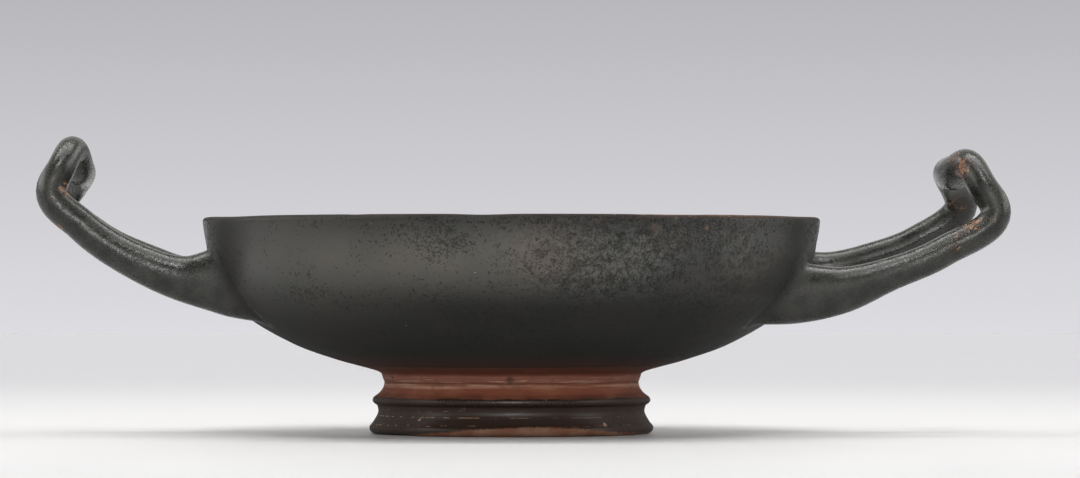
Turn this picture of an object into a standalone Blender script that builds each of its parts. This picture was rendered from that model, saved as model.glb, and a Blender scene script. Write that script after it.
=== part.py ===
"""Black-glazed stemless kylix: a wide, shallow drinking cup on a moulded ring foot, with two loop handles.

The bowl was thrown, the foot turned and the handles luted on before the firing, so the cup is one closed solid:
a turned wall, open above and recessed below, joined to two bars that each leave the wall, rise beside the rim,
fold back at an elbow and close in an arch.

One Blender unit is a metre, and the named sizes are in millimetres. Z is up, and the foot rests on z = 0. X runs
from handle to handle. The origin is below the middle of the cup's bounding box, so the bowl's own axis stands at
x = -BOWL_OFFSET, because one handle reaches further than the other.
"""

import math
from dataclasses import dataclass

import bmesh
import bpy
from mathutils import Matrix, Vector

MM = 0.001

# Driving sizes of the turned cup, in millimetres.
RIM_RADIUS = 85.4
CUP_HEIGHT = 59.7
LIP_THICKNESS = 3.0
FOOT_RADIUS = 39.3
NECK_RADIUS = 35.3
BOWL_OFFSET = 3.4

# How finely the curves are faceted.
TURNING_STEPS = 64
BAR_SIDES = 12
BAR_SPAN = 5.0
BAR_TURN = 14.0
FACET_TURN = 20.0
FACET_LENGTH = 9.5
WELD_DISTANCE = 1e-6

# The middle of the wall, where a handle's root ends inside the clay.
ROOT_DEPTH = 1.9


@dataclass(frozen=True)
class Station:
    """A point of the turned profile, and the direction in which the profile runs through it.

    heading is in degrees: 0 runs outwards, 90 up, 180 inwards to the axis.
    """

    radius: float
    height: float
    heading: float

    def inside(self, depth):
        """The station that lies this deep in the clay, seen from a surface that runs the other way."""
        turn = math.radians(self.heading)
        return Station(
            self.radius - depth * math.sin(turn),
            self.height + depth * math.cos(turn),
            self.heading + 180,
        )


@dataclass(frozen=True)
class Knot:
    """A pair of points on the middle line of a handle, one on each bar, and the size of the bars there.

    reach is measured from the bowl's axis, spread sideways from the handle's middle, and width and depth across the
    bar. The potter's hand shows in the rest: the bar at +Y runs higher than the one at -Y by rise, and lags behind
    it by lag.
    """

    reach: float
    height: float
    spread: float
    width: float
    depth: float
    rise: float = 0.0
    lag: float = 0.0


@dataclass(frozen=True)
class Handle:
    """One loop handle, as the knots from inside the wall to the top of the arch. side is -1 or +1 along X."""

    name: str
    side: int
    knots: tuple


# Underside of the foot, from the axis to the ring that the cup rests on.
RECESS = (
    Station(0, 14.2, 0),
    Station(27.0, 13.2, -6),
    Station(31.6, 8.6, -84),
    Station(32.6, 1.0, -80),
    Station(33.6, 0, 0),
)

# The foot's moulding: rounded lip, hollow, crease, half-round, then the concave neck under the bowl.
LOWER_LIP = (
    Station(37.4, 0, 0),
    Station(FOOT_RADIUS, 1.7, 90),
    Station(38.2, 3.4, 122),
)
HOLLOW = (
    Station(38.2, 3.4, 118),
    Station(36.9, 5.9, 90),
    Station(37.4, 7.5, 62),
)
HALF_ROUND = (
    Station(37.4, 7.5, 30),
    Station(38.5, 9.2, 90),
    Station(37.9, 10.3, 140),
)
NECK = (
    Station(37.9, 10.3, 142),
    Station(36.3, 11.7, 128),
    Station(NECK_RADIUS, 13.8, 90),
    Station(35.9, 16.2, 76),
    Station(38.0, 17.6, 18),
)

# The bowl's outer face, from the neck up the flaring underside and the steep wall to the lip.
BOWL = (
    Station(38.0, 17.6, 17),
    Station(48.5, 20.5, 18),
    Station(60.5, 24.9, 26),
    Station(69.7, 29.9, 32),
    Station(79.8, 39.5, 60),
    Station(84.3, 51.6, 82),
    Station(RIM_RADIUS, CUP_HEIGHT - 1.1, 88),
)

# The lip's rounded top, and the wall's thickness on the way down to the floor of the bowl.
LIP = (
    BOWL[-1],
    Station(RIM_RADIUS - 1.1, CUP_HEIGHT, 180),
    BOWL[-1].inside(LIP_THICKNESS),
)
WALL_THICKNESS = ((5, 3.6), (4, 4.2), (3, 4.6), (2, 5.0), (1, 5.6))
FLOOR_HEIGHT = 21.8

LEFT_HANDLE = Handle(
    name="left_handle",
    side=-1,
    knots=(
        Knot(60, 38.5, 22, 14, 19.5, rise=-1),
        Knot(77, 40.9, 22, 12.5, 18.8, rise=-1.5),
        Knot(90, 42.3, 21.5, 10, 11.4, rise=-2.2),
        Knot(102, 46.8, 21, 9, 10.2, rise=-2.3),
        Knot(117.5, 56.7, 19.5, 8.8, 9.2, rise=-2.3),
        Knot(125.7, 65.9, 18.5, 8.8, 9.0, rise=-3),
        Knot(123.0, 71.0, 16.5, 8.8, 8.6, rise=-4),
        Knot(120.2, 75.2, 11, 7.9, 8.1, rise=-5.8, lag=-0.4),
        Knot(119.9, 73.9, 0, 8.6, 8.8),
    ),
)

RIGHT_HANDLE = Handle(
    name="right_handle",
    side=1,
    knots=(
        Knot(60, 40.5, 26, 14, 16, rise=4),
        Knot(77, 41.1, 25.5, 12.5, 16, rise=4.5),
        Knot(90, 42.1, 24.5, 9.8, 12.6, rise=4.5, lag=1),
        Knot(102, 46.2, 22.5, 8.6, 9.2, rise=4.2, lag=3),
        Knot(115.5, 51.7, 21, 8.3, 8.3, rise=3.2, lag=5),
        Knot(129.8, 63.3, 18.5, 8.2, 7.8, rise=2.5, lag=6.8),
        Knot(127.2, 68.0, 16.5, 8.4, 8.0, rise=-0.2, lag=4.8),
        Knot(124.1, 72.4, 11.5, 8.6, 9.5, rise=-2.4, lag=2.6),
        Knot(122.8, 72.1, 0, 9.2, 9.6),
    ),
)

BLACK_GLAZE = (0.016, 0.017, 0.016, 1.0)
GLAZE_ROUGHNESS = 0.28


def clear_scene():
    """Removes every object, so that the script starts from an empty scene."""
    for obj in list(bpy.data.objects):
        bpy.data.objects.remove(obj, do_unlink=True)


def profile_points(stations):
    """Points along the smooth curve through the stations, as (radius, height) in millimetres."""
    points = [(stations[0].radius, stations[0].height)]
    for start, end in zip(stations, stations[1:]):
        turn = (end.heading - start.heading + 180) % 360 - 180
        chord = math.hypot(end.radius - start.radius, end.height - start.height)
        pull = chord / (3 * math.cos(math.radians(turn / 4)) ** 2)
        leave, arrive = math.radians(start.heading), math.radians(end.heading)
        a = Vector((start.radius, start.height))
        d = Vector((end.radius, end.height))
        b = a + pull * Vector((math.cos(leave), math.sin(leave)))
        c = d - pull * Vector((math.cos(arrive), math.sin(arrive)))
        steps = max(1, round(abs(turn) / FACET_TURN), round(chord / FACET_LENGTH))
        for step in range(1, steps + 1):
            t = step / steps
            point = (1 - t) ** 3 * a + 3 * t * (1 - t) ** 2 * b + 3 * t * t * (1 - t) * c + t**3 * d
            points.append((point.x, point.y))
    return points


def joined(*runs):
    """One list of points from several runs, without the points that two runs share."""
    points = []
    for run in runs:
        points += run[1:] if points and math.dist(points[-1], run[0]) < 1e-6 else run
    return points


def inner_stations():
    """The bowl's inner face, from the lip down to the middle of the floor."""
    wall = [BOWL[index].inside(thickness) for index, thickness in WALL_THICKNESS]
    return [BOWL[-1].inside(LIP_THICKNESS), *wall, Station(0, FLOOR_HEIGHT, 180)]


def cup_profile():
    """The closed half section of the clay, from the axis below to the axis above."""
    outside = (RECESS, (RECESS[-1], LOWER_LIP[0]), LOWER_LIP, HOLLOW, HALF_ROUND, NECK, BOWL, LIP)
    return joined(*[profile_points(run) for run in outside], profile_points(inner_stations()))


def core_profile():
    """The half section of everything inside the middle of the bowl's wall, which trims the handles' roots."""
    wall = [station.inside(ROOT_DEPTH) for station in reversed(BOWL[1:])]
    top = (wall[0].radius, CUP_HEIGHT + 40)
    side = profile_points(wall)
    return [(0, top[1]), top, *side, (0, side[-1][1])]


def turned(name, points):
    """A mesh object made by turning a half section once round the bowl's axis."""
    mesh = bpy.data.meshes.new(name)
    bm = bmesh.new()
    verts = [bm.verts.new((radius * MM, 0, height * MM)) for radius, height in points]
    edges = [bm.edges.new(pair) for pair in zip(verts, verts[1:])]
    bmesh.ops.spin(
        bm,
        geom=verts + edges,
        cent=(0, 0, 0),
        axis=(0, 0, 1),
        angle=2 * math.pi,
        steps=TURNING_STEPS,
        use_merge=True,
    )
    bmesh.ops.remove_doubles(bm, verts=bm.verts, dist=WELD_DISTANCE)
    bmesh.ops.recalc_face_normals(bm, faces=bm.faces)
    bmesh.ops.translate(bm, verts=bm.verts, vec=(-BOWL_OFFSET * MM, 0, 0))
    bm.to_mesh(mesh)
    bm.free()
    obj = bpy.data.objects.new(name, mesh)
    bpy.context.scene.collection.objects.link(obj)
    return obj


def placed(handle, knot, bar):
    """A knot's place in the world, in metres, on the bar at -Y (bar = -1) or at +Y (bar = 1)."""
    reach = knot.reach - bar * knot.lag / 2
    height = knot.height + bar * knot.rise / 2
    return Vector((handle.side * reach - BOWL_OFFSET, bar * knot.spread, height)) * MM


def bar_line(handle):
    """Points and sizes along the whole bar, from one root round the arch to the other root."""
    half = [(placed(handle, knot, -1), knot.width, knot.depth) for knot in handle.knots]
    other = [(placed(handle, knot, 1), knot.width, knot.depth) for knot in handle.knots]
    knots = half + other[-2::-1]
    line = []
    for index in range(len(knots) - 1):
        before, start, end, after = (knots[min(max(index + k, 0), len(knots) - 1)] for k in (-1, 0, 1, 2))
        length = (end[0] - start[0]).length
        leave, arrive = through(before[0], start[0], end[0]), through(start[0], end[0], after[0])
        steps = max(round(length / (BAR_SPAN * MM)), round(math.degrees(leave.angle(arrive)) / BAR_TURN), 1)
        for step in range(steps):
            t = step / steps
            blend = t * t * (3 - 2 * t)
            point = (
                (1 + 2 * t) * (1 - t) ** 2 * start[0]
                + t * (1 - t) ** 2 * leave * length
                + t * t * (3 - 2 * t) * end[0]
                + t * t * (t - 1) * arrive * length
            )
            line.append((point, start[1] + blend * (end[1] - start[1]), start[2] + blend * (end[2] - start[2])))
    line.append(knots[-1])
    return line


def through(before, here, after):
    """The direction of a smooth line at a point, from its neighbours; the nearer one counts for more."""
    back, ahead = here - before, after - here
    if back.length == 0 or ahead.length == 0:
        return (back + ahead).normalized()
    return (back / back.length**2 + ahead / ahead.length**2).normalized()


def bar_frames(line):
    """A matrix for each point of the bar, which lays a unit circle across it at its size there."""
    points = [point for point, _, _ in line]
    last = len(points) - 1
    tangents = [(points[min(i + 1, last)] - points[max(i - 1, 0)]).normalized() for i in range(last + 1)]
    side = Vector((0, 1, 0))
    frames = []
    for (point, width, depth), tangent in zip(line, tangents):
        side = (side - tangent * side.dot(tangent)).normalized()
        up = tangent.cross(side)
        turn = Matrix((side, up, tangent)).transposed().to_4x4()
        size = Matrix.Diagonal((width / 2 * MM, depth / 2 * MM, 1, 1))
        frames.append(Matrix.Translation(point) @ turn @ size)
    return frames


def handle_bar(handle):
    """The handle as one bent bar with closed ends, reaching through the wall at both roots."""
    frames = bar_frames(bar_line(handle))
    mesh = bpy.data.meshes.new(handle.name)
    bm = bmesh.new()
    made = bmesh.ops.create_circle(bm, cap_ends=True, segments=BAR_SIDES, radius=1, matrix=frames[0])
    ring = [edge for edge in bm.edges if all(vert in made["verts"] for vert in edge.verts)]
    for frame, following in zip(frames, frames[1:]):
        grown = bmesh.ops.extrude_edge_only(bm, edges=ring)["geom"]
        verts = [item for item in grown if isinstance(item, bmesh.types.BMVert)]
        bmesh.ops.transform(bm, matrix=following @ frame.inverted(), verts=verts)
        ring = [edge for edge in grown if isinstance(edge, bmesh.types.BMEdge) and set(edge.verts) <= set(verts)]
    bmesh.ops.edgeloop_fill(bm, edges=ring)
    bmesh.ops.recalc_face_normals(bm, faces=bm.faces)
    bm.to_mesh(mesh)
    bm.free()
    obj = bpy.data.objects.new(handle.name, mesh)
    bpy.context.scene.collection.objects.link(obj)
    return obj


def as_helper(obj):
    """Marks an object that only shapes another one."""
    obj.hide_render = True
    obj.display_type = "WIRE"


def combine(obj, operation, other):
    """Adds a Boolean with the other object, which stays a helper."""
    modifier = obj.modifiers.new(other.name, "BOOLEAN")
    modifier.operation = operation
    modifier.object = other
    modifier.solver = "EXACT"


def glaze():
    """The black gloss of the cup."""
    material = bpy.data.materials.new("black_glaze")
    material.use_nodes = True
    shader = material.node_tree.nodes["Principled BSDF"]
    shader.inputs["Base Color"].default_value = BLACK_GLAZE
    shader.inputs["Roughness"].default_value = GLAZE_ROUGHNESS
    shader.inputs["Metallic"].default_value = 0.0
    material.diffuse_color = BLACK_GLAZE
    return material


def main():
    """Builds the cup."""
    clear_scene()
    cup = turned("kylix_cup", cup_profile())
    core = turned("wall_core", core_profile())
    as_helper(core)
    for handle in (LEFT_HANDLE, RIGHT_HANDLE):
        bar = handle_bar(handle)
        combine(bar, "DIFFERENCE", core)
        combine(cup, "UNION", bar)
        as_helper(bar)
    cup.data.materials.append(glaze())
    cup.data.shade_smooth()
    cup.data.set_sharp_from_angle(angle=math.radians(40))


main()
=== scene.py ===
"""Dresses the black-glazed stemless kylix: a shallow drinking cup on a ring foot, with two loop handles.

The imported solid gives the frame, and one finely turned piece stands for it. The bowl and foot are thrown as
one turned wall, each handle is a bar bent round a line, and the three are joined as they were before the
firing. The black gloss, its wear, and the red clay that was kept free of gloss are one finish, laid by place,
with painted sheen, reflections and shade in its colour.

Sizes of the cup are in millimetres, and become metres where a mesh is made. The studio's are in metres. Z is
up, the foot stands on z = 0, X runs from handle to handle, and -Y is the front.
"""

import logging
import math
from dataclasses import dataclass, field
from enum import Enum
from functools import cached_property

import bmesh
import bpy
from mathutils import Matrix, Vector, kdtree, noise


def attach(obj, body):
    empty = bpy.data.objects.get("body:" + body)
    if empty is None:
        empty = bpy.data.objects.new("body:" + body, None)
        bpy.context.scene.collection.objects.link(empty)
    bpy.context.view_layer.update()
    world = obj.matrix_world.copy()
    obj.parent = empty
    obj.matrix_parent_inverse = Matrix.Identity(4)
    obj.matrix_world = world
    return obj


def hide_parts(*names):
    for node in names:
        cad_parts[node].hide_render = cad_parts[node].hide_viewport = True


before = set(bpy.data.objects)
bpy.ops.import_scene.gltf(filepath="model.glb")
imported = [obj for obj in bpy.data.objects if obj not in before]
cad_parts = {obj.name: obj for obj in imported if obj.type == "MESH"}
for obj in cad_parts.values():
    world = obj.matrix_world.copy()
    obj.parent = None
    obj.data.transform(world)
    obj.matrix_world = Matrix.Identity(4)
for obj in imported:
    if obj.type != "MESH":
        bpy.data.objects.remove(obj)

LOG = logging.getLogger("kylix")
MM = 0.001
CUP_NODE = "kylix_cup"
BAR_MARK = "bar_mark"
MARKED_PARTS = ("handle", "crease", "outside")

Pair = tuple[float, float]
Triple = tuple[float, float, float]
Distances = dict[bmesh.types.BMVert, float]


class Side(Enum):
    """The end of the X axis that a handle stands at."""

    LEFT = -1
    RIGHT = 1


class Merge(Enum):
    """What one solid does to another."""

    JOIN = "UNION"
    TRIM = "DIFFERENCE"


@dataclass(frozen=True)
class Station:
    """A point of the turned profile, in millimetres, and the direction in which the profile runs through it.

    heading is in degrees: 0 runs outwards, 90 up, 180 inwards to the axis.
    """

    radius: float
    height: float
    heading: float

    def inside(self, depth: float) -> "Station":
        """Finds the station that lies deeper in the clay.

        Args:
            depth: How deep, in millimetres, square to the surface.

        Returns:
            That station, on a surface that runs the other way.
        """
        turn = math.radians(self.heading)
        return Station(
            self.radius - depth * math.sin(turn),
            self.height + depth * math.cos(turn),
            self.heading + 180,
        )


@dataclass(frozen=True)
class Run:
    """A smooth stretch of the turned profile through its stations, faceted at about facet millimetres."""

    stations: tuple[Station, ...]
    facet: float

    def points(self) -> list[Pair]:
        """Lays points along the stretch.

        Returns:
            (radius, height) pairs in millimetres, from the first station to the last.
        """
        found = [(self.stations[0].radius, self.stations[0].height)]
        for start, end in zip(self.stations, self.stations[1:]):
            turn = (end.heading - start.heading + 180) % 360 - 180
            chord = math.hypot(end.radius - start.radius, end.height - start.height)
            pull = chord / (3 * math.cos(math.radians(turn / 4)) ** 2)
            leave, arrive = math.radians(start.heading), math.radians(end.heading)
            a, d = Vector((start.radius, start.height)), Vector((end.radius, end.height))
            b = a + pull * Vector((math.cos(leave), math.sin(leave)))
            c = d - pull * Vector((math.cos(arrive), math.sin(arrive)))
            steps = max(1, math.ceil(chord / self.facet))
            for step in range(1, steps + 1):
                t = step / steps
                point = (1 - t) ** 3 * a + 3 * t * (1 - t) ** 2 * b + 3 * t * t * (1 - t) * c + t**3 * d
                found.append((point.x, point.y))
        return found


@dataclass(frozen=True)
class Groove:
    """A shallow line that a tool left in the turning clay, in millimetres. A negative depth is a ridge."""

    height: float
    width: float
    depth: float

    def at(self, height: float) -> float:
        """Gives the depth of this line at a height."""
        return self.depth * math.exp(-(((height - self.height) / self.width) ** 2))


@dataclass(frozen=True)
class Dip:
    """A low place of a hand-cut edge: where it lies from the front, in degrees, and its width and depth."""

    angle: float
    spread: float
    depth: float

    def at(self, angle: float) -> float:
        """Gives the depth of this dip, in millimetres, at an angle in degrees."""
        away = (angle - self.angle + 180) % 360 - 180
        return self.depth * math.exp(-((away / self.spread) ** 2))


@dataclass(frozen=True)
class Knot:
    """A pair of points on the middle line of a handle, one on each bar, and the size of the bars there.

    reach is measured from the bowl's axis, spread sideways from the handle's middle, width and depth across
    the bar. The bar at +Y runs higher than the one at -Y by rise, lags behind it by lag, and is deeper by
    swell. All are in millimetres.
    """

    reach: float
    height: float
    spread: float
    width: float
    depth: float
    rise: float = 0.0
    lag: float = 0.0
    swell: float = 0.0


@dataclass
class TurnedCup:
    """The bowl and its foot: one turned wall, open above and recessed below. Sizes are in millimetres."""

    rim_radius: float = 85.4
    height: float = 59.7
    lip_thickness: float = 3.0
    foot_radius: float = 39.3
    neck_radius: float = 35.3
    floor_height: float = 21.8
    axis_x: float = -3.4
    steps: int = 288
    weld: float = 1e-6
    root_depth: float = 1.9
    headroom: float = 40.0
    middle: float = 1.0
    neck_slack: float = 1.5
    neck_top: float = 19.0
    outer_slope: float = 0.02
    most_bulge: float = 0.02
    unevenness: float = 0.12
    lobes: float = 1.3
    layers: float = 0.035
    uneven_from: Pair = (2.0, 9.0)
    rim_band: float = 5.0
    ring_inner: float = 33.0
    ring_band: Pair = (34.5, 37.5)
    ring_height: float = 3.0
    wall_thickness: tuple[tuple[int, float], ...] = ((5, 3.6), (4, 4.2), (3, 4.6), (2, 5.0), (1, 5.6))
    wheel_marks: tuple[Groove, ...] = (
        Groove(height=14.4, width=0.38, depth=0.17),
        Groove(height=16.5, width=0.35, depth=0.06),
        Groove(height=15.4, width=0.3, depth=0.04),
        Groove(height=5.1, width=0.3, depth=-0.05),
        Groove(height=6.4, width=0.3, depth=0.04),
        Groove(height=57.1, width=0.35, depth=0.05),
    )
    rim_dips: tuple[Dip, ...] = (
        Dip(angle=-62, spread=9, depth=0.2),
        Dip(angle=-5, spread=4.5, depth=0.25),
        Dip(angle=30, spread=6, depth=0.12),
        Dip(angle=66, spread=9, depth=0.12),
        Dip(angle=-29, spread=1.6, depth=0.1),
        Dip(angle=23.6, spread=1.2, depth=0.06),
        Dip(angle=35.3, spread=1.2, depth=0.07),
        Dip(angle=48, spread=1.2, depth=0.05),
        Dip(angle=120, spread=14, depth=0.25),
        Dip(angle=-140, spread=11, depth=0.3),
    )
    foot_chips: tuple[Dip, ...] = (
        Dip(angle=-58, spread=9, depth=0.35),
        Dip(angle=34, spread=6, depth=0.22),
        Dip(angle=75, spread=9, depth=0.3),
        Dip(angle=150, spread=10, depth=0.35),
    )

    def bowl_stations(self) -> tuple[Station, ...]:
        """Gives the bowl's outer face, from the neck up the flaring underside and steep wall to the lip."""
        return (
            Station(38.0, 17.6, 17),
            Station(48.5, 20.5, 18),
            Station(60.5, 24.9, 26),
            Station(69.7, 29.9, 32),
            Station(79.8, 39.5, 60),
            Station(84.3, 51.6, 82),
            Station(self.rim_radius, self.height - 1.1, 88),
        )

    def foot_runs(self) -> tuple[Run, ...]:
        """Gives the recess under the foot, then its lip, hollow, crease, half-round and neck."""
        recess = (
            Station(0, 14.2, 0),
            Station(27.0, 13.2, -6),
            Station(31.6, 8.6, -84),
            Station(32.6, 1.0, -80),
            Station(33.6, 0, 0),
        )
        lower_lip = (Station(37.4, 0, 0), Station(self.foot_radius, 1.7, 90), Station(38.2, 3.4, 122))
        hollow = (Station(38.2, 3.4, 118), Station(36.9, 6.2, 94), Station(37.3, 8.0, 64))
        half_round = (Station(37.3, 8.0, 24), Station(38.5, 9.3, 90), Station(37.9, 10.4, 140))
        neck = (
            Station(37.9, 10.4, 142),
            Station(36.3, 11.7, 128),
            Station(self.neck_radius, 13.8, 90),
            Station(35.9, 16.2, 76),
            Station(38.0, 17.6, 18),
        )
        return (
            Run(recess, facet=1.6),
            Run((recess[-1], lower_lip[0]), facet=1.0),
            Run(lower_lip, facet=0.3),
            Run(hollow, facet=0.3),
            Run(half_round, facet=0.3),
            Run(neck, facet=0.32),
        )

    def bowl_runs(self) -> tuple[Run, ...]:
        """Gives the bowl's outer face, its rounded lip, and the inner face down to the floor."""
        bowl = self.bowl_stations()
        inner = bowl[-1].inside(self.lip_thickness)
        lip = (bowl[-1], Station(self.rim_radius - 1.1, self.height, 180), inner)
        wall = [bowl[index].inside(thickness) for index, thickness in self.wall_thickness]
        return (
            Run(bowl, facet=1.0),
            Run(lip, facet=0.4),
            Run((inner, *wall, Station(0, self.floor_height, 180)), facet=1.7),
        )

    def profile(self) -> list[Pair]:
        """Joins the runs into the closed half section of the clay, without the points that two runs share."""
        points: list[Pair] = []
        for run in (*self.foot_runs(), *self.bowl_runs()):
            laid = run.points()
            points += laid[1:] if points and math.dist(points[-1], laid[0]) < self.weld else laid
        return points

    def core_profile(self) -> list[Pair]:
        """Gives the half section of all inside the middle of the wall, to trim the handles' roots."""
        wall = tuple(station.inside(self.root_depth) for station in reversed(self.bowl_stations()[1:]))
        side = Run(wall, facet=2.0).points()
        top = (wall[0].radius, self.height + self.headroom)
        return [(0, top[1]), top, *side, (0, side[-1][1])]

    def build(self) -> bpy.types.Object:
        """Turns the cup without its handles, and lets the tool and the hand leave their marks on it."""
        return self._turned("kylix_fine", self.profile(), marked=True)

    def build_core(self) -> bpy.types.Object:
        """Turns the solid that trims the handles' roots inside the wall."""
        return self._turned("wall_core", self.core_profile(), marked=False)

    def _turned(self, name: str, points: list[Pair], marked: bool) -> bpy.types.Object:
        """Spins a half section once round the bowl's axis.

        Args:
            name: The new object's name.
            points: The half section as (radius, height) pairs in millimetres.
            marked: Whether it bears the marks of the tool and the hand.

        Returns:
            The closed object, with its faces pointing outwards.
        """
        bm = bmesh.new()
        verts = [bm.verts.new((0, -radius * MM, height * MM)) for radius, height in points]
        edges = [bm.edges.new(pair) for pair in zip(verts, verts[1:])]
        bmesh.ops.spin(
            bm,
            geom=verts + edges,
            cent=(0, 0, 0),
            axis=(0, 0, 1),
            angle=2 * math.pi,
            steps=self.steps,
            use_merge=True,
        )
        bmesh.ops.remove_doubles(bm, verts=bm.verts, dist=self.weld)
        bmesh.ops.recalc_face_normals(bm, faces=bm.faces)
        if marked:
            self._mark(bm)
        bmesh.ops.translate(bm, verts=bm.verts, vec=(self.axis_x * MM, 0, 0))
        return as_object(name, bm)

    def _mark(self, bm: bmesh.types.BMesh) -> None:
        """Presses the wheel lines, the uneven throwing and the low places of the edges into the turned clay.

        Args:
            bm: The turned cup, with the bowl's axis at x = 0.
        """
        for vert in bm.verts:
            radius, height = vert.co.xy.length / MM, vert.co.z / MM
            if radius < self.middle:
                continue
            out = Vector((vert.co.x, vert.co.y, 0)).normalized()
            if height < self.neck_top:
                outer = radius > self.neck_radius - self.neck_slack
            else:
                outer = vert.normal.dot(out) > self.outer_slope
            shift = -self._hollow(out, height) if outer else 0.0
            angle = math.degrees(math.atan2(vert.co.x, -vert.co.y))
            drop = self._drop(angle, radius, height)
            vert.co += out * min(shift, self.most_bulge) * MM - Vector((0, 0, drop * MM))

    def _hollow(self, out: Vector, height: float) -> float:
        """Says how far the outer face lies inside its true form.

        Args:
            out: The level direction from the axis.
            height: The height, in millimetres.

        Returns:
            The depth, in millimetres, of the wheel lines and of the uneven throwing.
        """
        lines = sum(line.at(height) for line in self.wheel_marks)
        spot = Vector((out.x * self.lobes, out.y * self.lobes, height * self.layers))
        uneven = self.unevenness * (0.5 + 0.5 * noise.noise(spot))
        return lines + uneven * smooth_step(height, *self.uneven_from)

    def _drop(self, angle: float, radius: float, height: float) -> float:
        """Says how far a place of the rim lies too low, or one of the foot's edge too high.

        Args:
            angle: The angle from the front, in degrees.
            radius: The distance from the axis, in millimetres.
            height: The height, in millimetres.

        Returns:
            The drop, in millimetres, negative on the foot.
        """
        top = smooth_step(height, self.height - self.rim_band, self.height)
        drop = top * sum(dip.at(angle) for dip in self.rim_dips) if top > 0 else 0.0
        if radius > self.ring_inner and height < self.ring_height:
            low = 1 - smooth_step(height, 0, self.ring_height)
            chips = sum(dip.at(angle) for dip in self.foot_chips)
            drop -= chips * low * smooth_step(radius, *self.ring_band)
        return drop

    @cached_property
    def outer_face(self) -> list[Pair]:
        """Holds the bowl's outer face as (radius, height) points, to measure from."""
        return Run(self.bowl_stations(), facet=2.5).points()

    def outside_of(self, place: Vector) -> float:
        """Measures how far a place is from the bowl's outer face.

        Args:
            place: A point of the world.

        Returns:
            The distance in millimetres, negative inside the bowl.
        """
        radius = math.hypot(place.x / MM - self.axis_x, place.y / MM)
        height = place.z / MM
        best, side = math.inf, 1.0
        for (r0, z0), (r1, z1) in zip(self.outer_face, self.outer_face[1:]):
            dr, dz = r1 - r0, z1 - z0
            t = min(max(((radius - r0) * dr + (height - z0) * dz) / (dr * dr + dz * dz), 0), 1)
            gap = math.hypot(radius - r0 - t * dr, height - z0 - t * dz)
            if gap < best:
                best = gap
                side = 1.0 if (radius - r0) * dz - (height - z0) * dr > 0 else -1.0
        return best * side


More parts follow.
